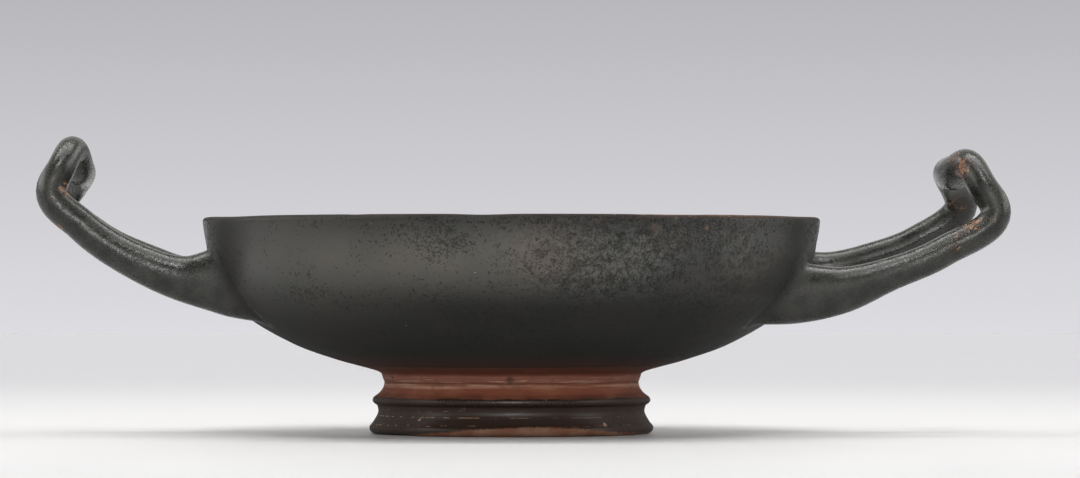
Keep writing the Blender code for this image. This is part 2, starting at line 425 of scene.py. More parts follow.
@dataclass
class LoopHandle:
    """One loop handle: a bar that leaves the wall, rises beside the rim, folds back and closes in an arch."""

    name: str
    side: Side
    knots: tuple[Knot, ...]
    sides: int = 36
    span: float = 1.25
    slimming: float = 0.985
    fillet_top: float = 1.7
    fillet_side: float = 0.7
    lumps: float = 0.07
    lump_scale: float = 0.08
    top_from: Pair = (0.2, 0.9)
    seed: float = 0.0

    def placed(self, cup: TurnedCup, knot: Knot, bar: int) -> Vector:
        """Finds a knot's place in the world.

        Args:
            cup: The cup that the handle is luted to.
            knot: The knot.
            bar: -1 for the bar at -Y, 1 for the one at +Y.

        Returns:
            The place, in metres.
        """
        reach = knot.reach - bar * knot.lag / 2
        height = knot.height + bar * knot.rise / 2
        return Vector((self.side.value * reach + cup.axis_x, bar * knot.spread, height)) * MM

    def line(self, cup: TurnedCup) -> list[tuple[Vector, float, float]]:
        """Bends the middle line from one root round the arch to the other root.

        Args:
            cup: The cup that the handle is luted to.

        Returns:
            (point, width, depth) along the bar, the point in metres and the sizes in millimetres.
        """
        half, other = (
            [
                (self.placed(cup, knot, bar), Vector((knot.width, knot.depth + bar * knot.swell / 2)))
                for knot in self.knots
            ]
            for bar in (-1, 1)
        )
        knots = half + other[-2::-1]
        laid = []
        for index in range(len(knots) - 1):
            before, start, end, after = (knots[min(max(index + k, 0), len(knots) - 1)] for k in (-1, 0, 1, 2))
            length = (end[0] - start[0]).length
            leave = heading_through(before[0], start[0], end[0]) * length
            arrive = heading_through(start[0], end[0], after[0]) * length
            grow = (end[1] - before[1]) * length / ((start[0] - before[0]).length + length)
            shrink = (after[1] - start[1]) * length / ((after[0] - end[0]).length + length)
            steps = max(round(length / (self.span * MM)), 1)
            for step in range(steps):
                point = smooth_between(step / steps, start[0], leave, end[0], arrive)
                size = smooth_between(step / steps, start[1], grow, end[1], shrink)
                laid.append((point, size.x, size.y))
        laid.append((knots[-1][0], knots[-1][1].x, knots[-1][1].y))
        return laid

    def frames(self, line: list[tuple[Vector, float, float]]) -> list[Matrix]:
        """Lays a unit circle across the bar at each point of its line.

        Args:
            line: What line() gives.

        Returns:
            One matrix for each point, which places and sizes the circle.
        """
        points = [point for point, _, _ in line]
        last = len(points) - 1
        tangents = [(points[min(i + 1, last)] - points[max(i - 1, 0)]).normalized() for i in range(last + 1)]
        side = Vector((0, 1, 0))
        found = []
        for (point, width, depth), tangent in zip(line, tangents):
            side = (side - tangent * side.dot(tangent)).normalized()
            up = tangent.cross(side)
            turn = Matrix((side, up, tangent)).transposed().to_4x4()
            size = Matrix.Diagonal((width / 2 * MM * self.slimming, depth / 2 * MM * self.slimming, 1, 1))
            found.append(Matrix.Translation(point) @ turn @ size)
        return found

    def build(self, cup: TurnedCup) -> bpy.types.Object:
        """Draws the bar out along its line, with closed ends, and presses it by hand.

        Args:
            cup: The cup that the handle is luted to.

        Returns:
            The bar, whose roots still reach through the wall.
        """
        placings = self.frames(self.line(cup))
        bm = bmesh.new()
        made = bmesh.ops.create_circle(bm, cap_ends=True, segments=self.sides, radius=1, matrix=placings[0])
        centre_of = {vert: placings[0].translation for vert in made["verts"]}
        ring = [edge for edge in bm.edges if all(vert in centre_of for vert in edge.verts)]
        for placing, following in zip(placings, placings[1:]):
            grown = bmesh.ops.extrude_edge_only(bm, edges=ring)["geom"]
            verts = [item for item in grown if isinstance(item, bmesh.types.BMVert)]
            bmesh.ops.transform(bm, matrix=following @ placing.inverted(), verts=verts)
            centre_of.update({vert: following.translation for vert in verts})
            edges = [item for item in grown if isinstance(item, bmesh.types.BMEdge)]
            ring = [edge for edge in edges if set(edge.verts) <= set(verts)]
        bmesh.ops.edgeloop_fill(bm, edges=ring)
        bmesh.ops.recalc_face_normals(bm, faces=bm.faces)
        for vert, centre in centre_of.items():
            vert.co += self._pressed(cup, vert.co, centre)
        return as_object(self.name, bm)

    def _pressed(self, cup: TurnedCup, place: Vector, centre: Vector) -> Vector:
        """Says how the potter's fingers move one place of the bar's skin.

        Args:
            cup: The cup that the handle is luted to.
            place: The place on the round bar.
            centre: The middle of the bar there.

        Returns:
            The move, in metres: inwards in the finger marks, outwards where the root is smeared on the wall.
        """
        out = (place - centre).normalized()
        spot = place / MM * self.lump_scale + Vector((self.seed, 0, 0))
        move = -self.lumps * (0.5 + noise.noise(spot))
        away = cup.outside_of(place)
        smear = self.fillet_side + (self.fillet_top - self.fillet_side) * smooth_step(out.z, *self.top_from)
        if away < smear:
            short = smear - max(away, 0)
            move += smear - math.sqrt(max(smear**2 - short**2, 0))
        return out * move * MM


def smooth_step(value: float, low: float, high: float) -> float:
    """Rises smoothly from 0 at low to 1 at high."""
    t = min(max((value - low) / (high - low), 0), 1)
    return t * t * (3 - 2 * t)


def heading_through(before: Vector, here: Vector, after: Vector) -> Vector:
    """Gives the direction of a smooth line at a point from its neighbours. The nearer one counts for more."""
    back, ahead = here - before, after - here
    if back.length == 0 or ahead.length == 0:
        return (back + ahead).normalized()
    return (back / back.length**2 + ahead / ahead.length**2).normalized()


def smooth_between(share: float, start: Vector, leave: Vector, end: Vector, arrive: Vector) -> Vector:
    """Runs smoothly from start to end, leaving along one direction and arriving along another.

    Args:
        share: How far along, from 0 to 1.
        start: The value at 0.
        leave: How fast it changes there.
        end: The value at 1.
        arrive: How fast it changes there.

    Returns:
        The value at that share of the way.
    """
    t = share
    return (
        (1 + 2 * t) * (1 - t) ** 2 * start
        + t * (1 - t) ** 2 * leave
        + t * t * (3 - 2 * t) * end
        + t * t * (t - 1) * arrive
    )


def as_object(name: str, bm: bmesh.types.BMesh) -> bpy.types.Object:
    """Makes an object of a finished bmesh and links it to the scene."""
    mesh = bpy.data.meshes.new(name)
    bm.to_mesh(mesh)
    bm.free()
    obj = bpy.data.objects.new(name, mesh)
    bpy.context.scene.collection.objects.link(obj)
    return obj


def merge(obj: bpy.types.Object, how: Merge, other: bpy.types.Object) -> None:
    """Trims an object with another one, or joins them.

    Args:
        obj: The object that is changed.
        how: What the other one does to it.
        other: The other object, which stays as it is.
    """
    modifier = obj.modifiers.new(other.name, "BOOLEAN")
    modifier.operation = how.value
    modifier.object = other
    modifier.solver = "EXACT"
    graph = bpy.context.evaluated_depsgraph_get()
    made = bpy.data.meshes.new_from_object(obj.evaluated_get(graph))
    obj.modifiers.clear()
    old = obj.data
    obj.data = made
    bpy.data.meshes.remove(old)


@dataclass(frozen=True)
class Value:
    """A number, colour or vector that a tree works out at each point.

    It adds up and multiplies with others and with plain numbers. Each step adds a node to its tree.
    """

    bench: "Bench"
    socket: bpy.types.NodeSocket

    def __add__(self, other: "Number") -> "Value":
        """Adds a number."""
        return self.bench.math("ADD", self, other)

    def __sub__(self, other: "Number") -> "Value":
        """Takes a number away."""
        return self.bench.math("SUBTRACT", self, other)

    def __rsub__(self, other: float) -> "Value":
        """Takes this away from a number."""
        return self.bench.math("SUBTRACT", other, self)

    def __mul__(self, other: "Number") -> "Value":
        """Multiplies by a number."""
        return self.bench.math("MULTIPLY", self, other)

    def __truediv__(self, other: "Number") -> "Value":
        """Divides by a number."""
        return self.bench.math("DIVIDE", self, other)

    def __abs__(self) -> "Value":
        """Drops the sign."""
        return self.bench.math("ABSOLUTE", self)

    def or_more(self, *others: "Number") -> "Value":
        """Gives the highest of this and the others."""
        highest = self
        for other in others:
            highest = self.bench.math("MAXIMUM", highest, other)
        return highest

    def up_to(self, most: float) -> "Value":
        """Gives this, but no more than a number."""
        return self.bench.math("MINIMUM", self, most)

    def step(self, low: "Number", high: "Number") -> "Value":
        """Rises smoothly from 0 at low to 1 at high, or falls where low is above high."""
        feeds = {"Value": self, "From Min": low, "From Max": high}
        return self.bench.node("ShaderNodeMapRange", feeds, interpolation_type="SMOOTHSTEP")

    def bell(self, middle: float, width: float) -> "Value":
        """Peaks at 1 where this is at the middle, and falls to 0 at that width to either side."""
        return abs(self - middle).step(width, 0.0)

    def between(self, low: float, high: float) -> "Value":
        """Lays a value of 0 to 1 between two numbers."""
        return self.bench.math("MULTIPLY_ADD", self, high - low, low)

    def blend(self, first: "Number", second: "Number") -> "Value":
        """Mixes two numbers: the first where this is 0, the second where it is 1."""
        feeds = {0: self, 2: first, 3: second}
        return self.bench.node("ShaderNodeMix", feeds, data_type="FLOAT", clamp_factor=True)

    def mix(self, first: "Value | Colour", second: "Value | Colour") -> "Value":
        """Mixes two colours: the first where this is 0, the second where it is 1."""
        feeds = {0: self, 6: first, 7: second}
        return self.bench.node("ShaderNodeMix", feeds, 2, data_type="RGBA", clamp_factor=True)

    def coated(self, *coats: "tuple[Value, Value | Colour]") -> "Value":
        """Lays coats over this colour in order, each given as how much of it shows and its own colour."""
        colour = self
        for share, coat in coats:
            colour = share.mix(colour, coat)
        return colour

    def twin(self, output: str) -> "Value":
        """Gives another output of the same node."""
        return Value(self.bench, self.socket.node.outputs[output])

    def parts(self) -> "tuple[Value, ...]":
        """Splits a vector into its three numbers."""
        first = self.bench.node("ShaderNodeSeparateXYZ", {0: self})
        return tuple(first.twin(axis) for axis in "XYZ")


@dataclass(frozen=True)
class Bench:
    """A node tree, and the few moves that lay a pattern in it."""

    tree: bpy.types.NodeTree

    def feed(self, socket: bpy.types.NodeSocket, value: "Feed") -> None:
        """Links a value to an input, or sets the input to a plain number, colour or vector."""
        if isinstance(value, Value):
            self.tree.links.new(value.socket, socket)
        else:
            socket.default_value = value

    def node(self, kind: str, feeds: "dict[Slot, Feed]", output: "Slot" = 0, **settings: object) -> Value:
        """Adds a node.

        Args:
            kind: The node's type.
            feeds: What goes into which of its inputs.
            output: Which of its outputs is wanted.
            settings: The node's own properties.

        Returns:
            That output.
        """
        made = self.tree.nodes.new(kind)
        for name, setting in settings.items():
            setattr(made, name, setting)
        for name, value in feeds.items():
            self.feed(made.inputs[name], value)
        return Value(self, made.outputs[output])

    def math(self, operation: str, *values: "Number", clamp: bool = False) -> Value:
        """Works out one number from one, two or three."""
        return self.node("ShaderNodeMath", dict(enumerate(values)), operation=operation, use_clamp=clamp)

    def vectors(self, operation: str, *values: "Feed", output: str = "Vector") -> Value:
        """Works out one vector from some others, or one number where output is "Value"."""
        return self.node("ShaderNodeVectorMath", dict(enumerate(values)), output, operation=operation)

    def joined(self, *numbers: "Number") -> Value:
        """Joins three numbers in a vector."""
        return self.node("ShaderNodeCombineXYZ", dict(enumerate(numbers)))

    def noise(
        self, place: Value, size: float, detail: float = 2.0, rough: float = 0.5, bent: float = 0.0
    ) -> Value:
        """Lays soft noise.

        Args:
            place: The coordinates.
            size: How large its clouds are, in the same units.
            detail: How many finer layers it has.
            rough: How strong the finer layers are.
            bent: How far it is distorted.

        Returns:
            The noise, about 0.5 on average.
        """
        feeds = {"Vector": place, "Scale": 1 / size, "Detail": detail, "Roughness": rough, "Distortion": bent}
        return self.node("ShaderNodeTexNoise", feeds)


Slot = int | str
Colour = tuple[float, float, float, float]
Number = Value | float
Feed = Value | float | Colour | tuple[float, float, float]


def shade(red: float, green: float, blue: float) -> Colour:
    """Gives an opaque colour in linear light."""
    return (red, green, blue, 1.0)


@dataclass(frozen=True)
class Places:
    """Where a point of the skin lies on the cup, in millimetres from the bowl's axis and the table.

    round is its direction from the axis, and angle the same in radians from the front. The last five are 1 on
    the parts that they are named after, and 0 elsewhere.
    """

    point: Value
    x: Value
    y: Value
    height: Value
    radius: Value
    round: Value
    angle: Value
    handle: Value
    crease: Value
    outside: Value
    lip: Value
    foot: Value

    @classmethod
    def read(cls, bench: Bench, axis_x: float) -> "Places":
        """Reads a point's place from its Object coordinates and from the cup's own attributes.

        Args:
            bench: The tree.
            axis_x: Where the bowl's axis stands, in millimetres.

        Returns:
            The places.
        """
        coordinates = bench.node("ShaderNodeTexCoord", {}, "Object")
        point = bench.vectors("MULTIPLY_ADD", coordinates, (1 / MM, 1 / MM, 1 / MM), (-axis_x, 0, 0))
        x, y, height = point.parts()
        radius = bench.math("SQRT", x * x + y * y + 1e-4)
        handle, crease, outside = (
            bench.node("ShaderNodeAttribute", {}, "Fac", attribute_name=name) for name in MARKED_PARTS
        )
        return cls(
            point=point,
            x=x,
            y=y,
            height=height,
            radius=radius,
            round=bench.joined(x / radius, y / radius, 0.0),
            angle=bench.math("ARCTAN2", x, y * -1.0),
            handle=handle,
            crease=crease,
            outside=outside,
            lip=height.step(58.5, 59.1) * radius.step(81.0, 82.0) * (1 - handle),
            foot=height.step(11.0, 9.5),
        )

    def noise(self, size: float, **settings: float) -> Value:
        """Lays noise with clouds of a size in millimetres."""
        return self.point.bench.noise(self.point, size, **settings)

    def wheel_noise(self, along: float, across: float, detail: float = 2.0) -> Value:
        """Lays noise drawn out round the cup, as a wheel draws it.

        Args:
            along: How long its streaks are, as a share of the radius.
            across: How far apart they are, in millimetres.
            detail: How many finer layers it has.

        Returns:
            The noise, about 0.5 on average.
        """
        bench = self.point.bench
        level = bench.joined(0.0, 0.0, (self.height + self.radius * 0.6) / across)
        place = bench.vectors("MULTIPLY_ADD", self.round, (1 / along, 1 / along, 1 / along), level)
        return bench.noise(place, 1.0, detail)

    def near(self, *spots: "Spot") -> Value:
        """Adds up how strongly marked places reach a point."""
        reaches = [spot.reached(self.point) for spot in spots]
        return sum(reaches[1:], reaches[0])


@dataclass(frozen=True)
class BlackGloss:
    """The black slip, fired to a sheen: greenish black where it is thick, brown where it is thin."""

    thick: Colour = shade(0.0090, 0.0094, 0.0080)
    thin: Colour = shade(0.0145, 0.0108, 0.0080)
    # The next three are painted sheen: lighter greys laid on the bowl's front and the handles where the glaze
    # would reflect light.
    painted_sheen: Colour = shade(0.068, 0.067, 0.057)
    cold_painted_sheen: Colour = shade(0.058, 0.062, 0.060)
    warm_painted_sheen: Colour = shade(0.079, 0.068, 0.059)
    # Painted reflection: a light grey laid on the inner faces of the handles' knobs.
    painted_knob_reflection: Colour = shade(0.115, 0.118, 0.110)
    # Dark for the root-like scars of the gloss, and also painted shade in the creases at the handles' roots.
    scar_and_crease_shade: Colour = shade(0.0035, 0.0037, 0.0033)
    burnt: Colour = shade(0.028, 0.014, 0.009)
    sheen: float = 0.33
    grainy: float = 0.5
    pressed: float = 0.6
    matt: float = 0.88
    dull: float = 0.95


@dataclass(frozen=True)
class RedClay:
    """The fired clay: brick red where it was kept free of gloss, and paler where it is rubbed."""

    # Deep red is also used for painted shade at the top of the neck and for the painted reflection of the
    # foot on the underside.
    deep: Colour = shade(0.085, 0.026, 0.014)
    red: Colour = shade(0.170, 0.046, 0.022)
    pink: Colour = shade(0.205, 0.082, 0.056)
    pale: Colour = shade(0.38, 0.235, 0.155)
    worn: Colour = shade(0.33, 0.185, 0.10)
    rust: Colour = shade(0.13, 0.048, 0.022)
    warm: Colour = shade(0.215, 0.082, 0.042)
    stand: Colour = shade(0.17, 0.095, 0.058)
    lime: Colour = shade(0.55, 0.50, 0.42)
    matt: float = 0.78


@dataclass(frozen=True)
class Spot:
    """A marked place of the skin: its middle, from the bowl's axis, and its reach, in millimetres."""

    x: float
    y: float
    z: float
    reach: float
    strength: float = 1.0
    core: float = 0.3

    def reached(self, place: Value) -> Value:
        """Gives the spot's strength near its middle, falling to 0 at its reach."""
        gap = place.bench.vectors("DISTANCE", place, (self.x, self.y, self.z), output="Value")
        return gap.step(self.reach, self.reach * self.core) * self.strength


@dataclass
class FiredSkin:
    """The finish of the whole cup: gloss over clay, with the marks of the wheel, the hand, use and burial,
    and painted sheen, reflections and shade.
    """

    gloss: BlackGloss = field(default_factory=BlackGloss)
    clay: RedClay = field(default_factory=RedClay)
    rubs: tuple[Spot, ...] = (
        Spot(125.2, -14, 72.5, 5.5, 1.3),
        Spot(123.5, -9, 75.0, 4.5, 1.1),
        Spot(122.6, 6, 75.5, 3.5, 0.8),
        Spot(123.4, 8, 69.0, 3.0, 0.9),
        Spot(125.5, 14, 63.4, 4.5, 0.8),
        Spot(131.2, -21, 58.4, 3.5, 0.9),
        Spot(126.0, -22, 57.5, 4.0, 0.8),
        Spot(122.2, -24, 55.4, 3.0, 0.8),
        Spot(120.6, -24, 51.0, 3.0, 0.7),
        Spot(-121.6, -21, 67.0, 3.0, 0.9),
        Spot(-125.7, -21, 65.8, 2.5, 0.5),
        Spot(-122.5, -21, 57.5, 1.8, 0.6),
        Spot(-121.0, 12, 74, 4, 0.7),
        Spot(-124.0, 18, 60, 4, 0.7),
    )
    chips: tuple[Spot, ...] = (
        Spot(-25.5, -27.2, 6.7, 0.7),
        Spot(-24.9, -28.0, 4.5, 0.7),
        Spot(-20.5, -31.3, 7.1, 0.6),
        Spot(-12.7, -34.9, 7.7, 0.5),
        Spot(-15.1, -34.9, 2.8, 0.7),
        Spot(-9.1, -37.2, 2.3, 0.7),
        Spot(25.3, -28.7, 3.0, 1.1),
        Spot(9.5, -37.2, 10.2, 0.8),
        Spot(-36.7, -76.6, 57.3, 0.5),
        Spot(-31.8, -78.8, 55.6, 0.45),
        Spot(52.0, 67.0, 48.0, 0.9),
        Spot(-30.0, 79.0, 54.0, 0.8),
    )
    tints: tuple[Spot, ...] = (
        Spot(4.1, -84.8, 57.4, 1.5, 0.5),
        Spot(22.4, -81.9, 57.6, 1.8, 0.5),
        Spot(34.0, -77.8, 57.7, 1.3, 0.5),
        Spot(37.7, -76.2, 55.9, 1.6, 0.6),
        Spot(43.3, -73.2, 58.6, 1.2, 0.6),
        Spot(51.6, -67.7, 56.2, 1.6, 0.6),
        Spot(30.0, 80.0, 56.5, 1.8, 0.6),
    )
    crowds: tuple[Spot, ...] = (
        Spot(7.8, -84.6, 52.2, 7.0),
        Spot(17.7, -82.8, 50.3, 7.0),
        Spot(-14.0, -83.5, 52.0, 6.0, 0.8),
        Spot(38.0, -75.0, 51.0, 9.0, 0.7),
        Spot(12.0, -80.5, 42.5, 9.0, 0.6),
    )
    # Where the painted sheen on the bowl's front turns warmest.
    warm_sheen_spot: Spot = Spot(8.5, -84.3, 49.5, 14.0)
    shadow: Spot = Spot(48.0, -66.0, 42.0, 17.0, 0.75)
    # Where the painted reflection lies on the knobs' inner faces. The pebbled relief is calmed there too.
    knob_reflection_spots: tuple[Spot, ...] = (
        Spot(-117.0, 9.0, 71.5, 12.0, 1.5),
        Spot(121.0, 8.0, 72.5, 11.0, 1.3),
    )
    pits: tuple[Spot, ...] = (
        Spot(-0.4, -35.8, 15.1, 1.6),
        Spot(-32.6, -14.6, 15.6, 0.9),
        Spot(-46.3, -71.3, 50.2, 0.8),
        Spot(21.0, 29.0, 15.0, 1.1),
        Spot(40.0, 74.6, 47.0, 0.9),
    )
    axis_x: float = -3.4
    index: float = 1.5
    specular: float = 0.36
    gloss_from: float = 10.25
    clay_to: float = 18.8
    wheel_lines: float = 0.012
    pebble: float = 0.5
    pit_depth: float = 0.35

    @cached_property
    def material(self) -> bpy.types.Material:
        """Holds the new material, whose shader has the values that are the same all over."""
        material = bpy.data.materials.new("fired_skin")
        material.use_nodes = True
        shader = material.node_tree.nodes["Principled BSDF"]
        shader.inputs["IOR"].default_value = self.index
        shader.inputs["Specular IOR Level"].default_value = self.specular
        return material

    @cached_property
    def at(self) -> Places:
        """Tells where a point of the skin lies."""
        return Places.read(Bench(self.material.node_tree), self.axis_x)

    def build(self) -> bpy.types.Material:
        """Lays the finish.

        Returns:
            The material, which reads Object coordinates and the attributes handle, crease and outside.
        """
        bench = self.at.point.bench
        shader = self.material.node_tree.nodes["Principled BSDF"]
        pits = self.at.near(*self.pits)
        colour = self.bare.mix(self.slip_colour, self.clay_colour).coated(
            (self.worn, self.worn_colour),
            (self.specks, self.clay.lime),
            (pits * 0.7, self.gloss.burnt),
        )
        rough = self.bare.or_more(self.worn * 0.8).blend(self.slip_roughness, self.clay.matt)
        relief = self.relief + pits * -self.pit_depth
        bump = bench.node("ShaderNodeBump", {"Distance": MM, "Height": relief}, "Normal")
        for name, value in (("Base Color", colour), ("Roughness", rough), ("Normal", bump)):
            bench.feed(shader.inputs[name], value)
        return self.material

    @cached_property
    def bare(self) -> Value:
        """Is 1 on clay that was kept free of gloss: the neck, the recess, and patches of the foot's edge."""
        at = self.at
        wobble = at.noise(9.0).between(-0.55, 0.55) + at.noise(1.2).between(-0.3, 0.3)
        outer = at.radius.step(33.0, 33.6)
        neck = (
            (at.height + wobble).step(self.gloss_from - 0.16, self.gloss_from + 0.16)
            * (at.height + wobble * 0.3).step(self.clay_to + 0.1, self.clay_to - 0.1)
            * at.radius.step(44.0, 43.0)
            * outer
        )
        recess = at.radius.step(34.2, 33.8) * at.height.step(18.0, 17.0)
        behind = at.noise(22.0).step(0.5, 0.62) * at.y.step(0.0, 10.0)
        rubbed = at.angle.bell(0.15, 1.0) * 2.1 + at.angle.step(-0.65, -0.95) * -1.0 + behind * 1.4 + 0.6
        fray = at.noise(0.7).between(-0.7, 0.7)
        edge = (at.height + wobble * 0.7 + fray - rubbed).step(0.2, -0.2) * outer * at.height.step(4.0, 3.0)
        stand = at.height.step(0.25, 0.05) * outer
        return neck.or_more(recess, edge, stand)

    @cached_property
    def marks(self) -> Value:
        """Is 1 in the fine root-like scars of the gloss, which crowd from the front to the right."""
        at = self.at
        right = at.angle.step(-0.9, 0.5)
        turned = right * 0.5 + abs(at.angle).step(2.2, 1.2) * 0.3 + at.angle.step(3.1, 2.4) * right * 0.2
        density = (
            at.outside.blend(0.35, turned)
            + at.wheel_noise(along=0.34, across=16.0).step(0.36, 0.66).between(-0.75, 0.55)
            + at.height.step(54.5, 56.5) * 0.25
            + at.height.step(40.0, 30.0) * 0.25
            + at.near(*self.crowds) * 0.6
            + at.height.step(27.0, 23.0) * -0.4
            - 0.28
        )
        thread = abs(at.noise(1.7, rough=0.6, bent=0.6) - 0.5).step(0.06, 0.012)
        strokes = thread * (at.noise(1.1) + density * 0.15).step(0.50, 0.68)
        cluster = at.wheel_noise(along=0.045, across=1.8, detail=3.0)
        blots = (at.noise(0.55) + density * 0.12 + cluster.between(-0.3, 0.3)).step(0.60, 0.78) * 0.8
        both = strokes.or_more(blots) * at.handle.blend(1.0, 0.4)
        return both * at.height.step(12.0, 20.0).between(0.3, 1.0)

    @cached_property
    def grain(self) -> Value:
        """Gives the pebbled grain of the gloss."""
        return self.at.noise(self.pebble, rough=0.55)

    @cached_property
    def worn(self) -> Value:
        """Is 1 where the gloss is rubbed through: the handles' elbows and tips, the lip, the foot."""
        at = self.at
        patch = at.noise(4.0, detail=3.0, rough=0.6)
        fray = at.noise(0.8, rough=0.6)
        frayed = fray.between(-0.7, 0.7)
        near = at.near(*self.rubs)
        flecks = (fray * 0.6 + patch * 0.4 + near * 0.09).step(0.60, 0.70)
        scratch = abs(at.noise(2.6, bent=1.2) - 0.5).step(0.04, 0.010)
        lines = scratch * (patch + near * 0.16).step(0.54, 0.64)
        handles = flecks.or_more(lines) * near.step(0.05, 0.4)
        sector = at.angle.bell(0.72, 0.6) * 0.9 + patch.between(-1.7, 0.9)
        lip = (at.height + fray.between(-0.5, 0.5)).step(59.0, 59.5) * at.lip * sector.up_to(1.0)
        dash = at.wheel_noise(along=0.06, across=6.0, detail=1.0)
        level = at.height + at.noise(9.0, detail=0.0).between(-0.5, 0.5)
        ridge = (at.height.bell(5.15, 0.13) * dash.step(0.47, 0.56)).or_more(
            level.bell(2.9, 0.12) * dash.step(0.54, 0.62),
            level.bell(6.9, 0.1) * dash.step(0.6, 0.66),
        )
        left = at.angle.step(0.35, -0.35)
        foot = (
            ridge
            * fray.step(0.36, 0.5).between(0.2, 1.0)
            * left.between(0.35, 1.0)
            * at.radius.step(36.0, 36.4)
        )
        chips = (at.near(*self.chips) + frayed).step(0.35, 0.7) * 0.65
        tints = (at.near(*self.tints) + frayed).step(0.2, 1.1) * 0.45
        return at.point.bench.math("MINIMUM", handles + lip + foot + chips + tints, 1.0, clamp=True)

    @cached_property
    def worn_colour(self) -> Value:
        """Gives the colour that shows where the gloss is rubbed through."""
        at = self.at
        rubbed = at.noise(1.4).step(0.42, 0.62).mix(self.clay.rust, self.clay.worn)
        return rubbed.coated((at.height.step(8.0, 6.0), self.clay.pale), (at.lip * 0.6, self.gloss.burnt))

    @cached_property
    def specks(self) -> Value:
        """Scatters a few tiny chips and lime specks."""
        at = self.at
        gap = at.point.bench.node("ShaderNodeTexVoronoi", {"Vector": at.point, "Scale": 0.22}, "Distance")
        few = gap.twin("Color").parts()[0].step(0.86, 0.88)
        reach = at.height.step(9.0, 7.0).between(0.035, 0.07)
        return gap.step(reach, reach * 0.6) * few * 0.6

    def _painted_sheen_on_bowl(self, cloud: Value) -> tuple[Value, Value]:
        """Finds the painted sheen on the bowl's front and the painted reflection at its limbs: a lighter grey
        laid in the gloss's colour.

        Args:
            cloud: The broad clouds of the gloss.

        Returns:
            How much of the painted sheen shows, and its colour.
        """
        at = self.at
        brown = (cloud.step(0.42, 0.6) * 0.35).or_more(at.near(self.warm_sheen_spot))
        cold = at.noise(11.0).step(0.47, 0.6) * at.angle.step(0.15, 0.6)
        colour = brown.mix(self.gloss.painted_sheen, self.gloss.warm_painted_sheen).coated((cold * 0.8, self.gloss.cold_painted_sheen))
        fine = at.noise(1.7, detail=5.0, rough=0.75)
        broad = at.wheel_noise(along=0.05, across=2.2, detail=3.0)
        mottle = (fine * 0.6 + broad * 0.4).step(0.40, 0.58).between(0.1, 1.9)
        # Painted sheen on the front middle of the bowl and painted reflection at its two limbs, with less of
        # both near the shadow spot.
        middle = at.angle.bell(0.0, 1.3) * at.height.bell(48.0, 13.5) * cloud.between(0.5, 1.3)
        right_limb = at.angle.bell(0.85, 0.35) * at.height.step(41.0, 46.0)
        limbs = at.angle.bell(-0.75, 0.6) * 0.2 + right_limb * 0.22
        share = middle * at.angle.step(-0.2, 0.5).blend(1.1, mottle) + limbs * at.height.step(28.0, 36.0)
        return share * (1 - at.near(self.shadow)) * at.outside * (1 - at.handle), colour

    @cached_property
    def slip_colour(self) -> Value:
        """Gives the colour of the gloss, with painted sheen, reflections and shade laid in it."""
        at = self.at
        gloss = self.gloss
        cloud = at.noise(17.0, detail=3.0)
        thin = cloud.step(0.46, 0.7) * at.height.step(44.0, 36.0).between(0.25, 0.8)
        scorched = at.near(*self.rubs).step(0.1, 0.9)
        # Painted sheen on the handles: a lighter grey laid in noisy patches over the dark gloss.
        handle_sheen_paint = at.noise(6.0, detail=4.0, rough=0.6).step(0.36, 0.62).between(0.05, 0.3)
        low = at.height.step(17.0, 10.0).or_more(at.height.step(24.0, 18.5))
        # Painted reflection: a deep red band on the underside just above the neck, where the glossy bowl
        # would mirror the red foot.
        glow = at.height.step(22.0, 19.5) * at.height.step(17.0, 18.5) * 0.3
        return thin.mix(gloss.thick, gloss.thin).coated(
            # Painted sheen and painted reflection on the bowl's outer face.
            self._painted_sheen_on_bowl(cloud),
            (scorched * at.handle * 0.6, gloss.burnt),
            (at.handle * (1 - scorched), handle_sheen_paint.mix(gloss.thick, gloss.painted_sheen)),
            # Painted reflection on the knobs' inner faces.
            (at.near(*self.knob_reflection_spots) * at.handle * 0.7, gloss.painted_knob_reflection),
            (at.lip * at.angle.bell(0.72, 0.8).between(0.25, 0.9), gloss.burnt),
            # Painted shade in the creases where the handles meet the wall.
            (at.crease * 0.7, gloss.scar_and_crease_shade),
            (low * 0.8, gloss.burnt),
            (glow, self.clay.deep),
            (self.marks * 0.65, gloss.scar_and_crease_shade),
        )

    @cached_property
    def clay_colour(self) -> Value:
        """Gives the colour of the bare clay, with streaks round the neck and painted shade at its top under
        the bowl.
        """
        at = self.at
        clay = self.clay
        streak = at.wheel_noise(along=0.5, across=0.55, detail=3.0)
        cloud = at.noise(6.0, detail=3.0)
        crest = at.height.bell(13.5, 0.9) * streak.step(0.36, 0.56).between(0.25, 1.0)
        pale = streak.step(0.54, 0.68) * at.height.bell(14.2, 2.8)
        lines = at.wheel_noise(along=0.22, across=0.3).step(0.60, 0.70) * at.height.bell(14.6, 2.4)
        groove = at.height.bell(14.35, 0.5).or_more(streak.step(0.42, 0.3) * 0.6)
        below = at.height.bell(10.6, 1.5) * cloud.step(0.35, 0.6).between(1.0, 0.35)
        blotch = at.noise(3.0, detail=4.0, rough=0.65).step(0.50, 0.68)
        edge = at.height.step(4.0, 3.0) * at.radius.step(35.0, 36.5)
        return cloud.step(0.4, 0.75).mix(clay.red, clay.warm).coated(
            (at.height.bell(15.5, 1.3) * 0.85, clay.pink),
            (crest * 0.4, clay.pale),
            ((pale * 0.7).or_more(lines), clay.pale),
            # Painted shade: the top of the neck, under the bowl's overhang, is darkened.
            (at.height.step(16.0, 17.2) * 0.75, clay.deep),
            (groove * 0.8, clay.deep),
            (below, clay.deep),
            (blotch * 0.4, clay.deep),
            (edge, cloud.step(0.35, 0.65).mix(clay.stand, clay.rust)),
        )

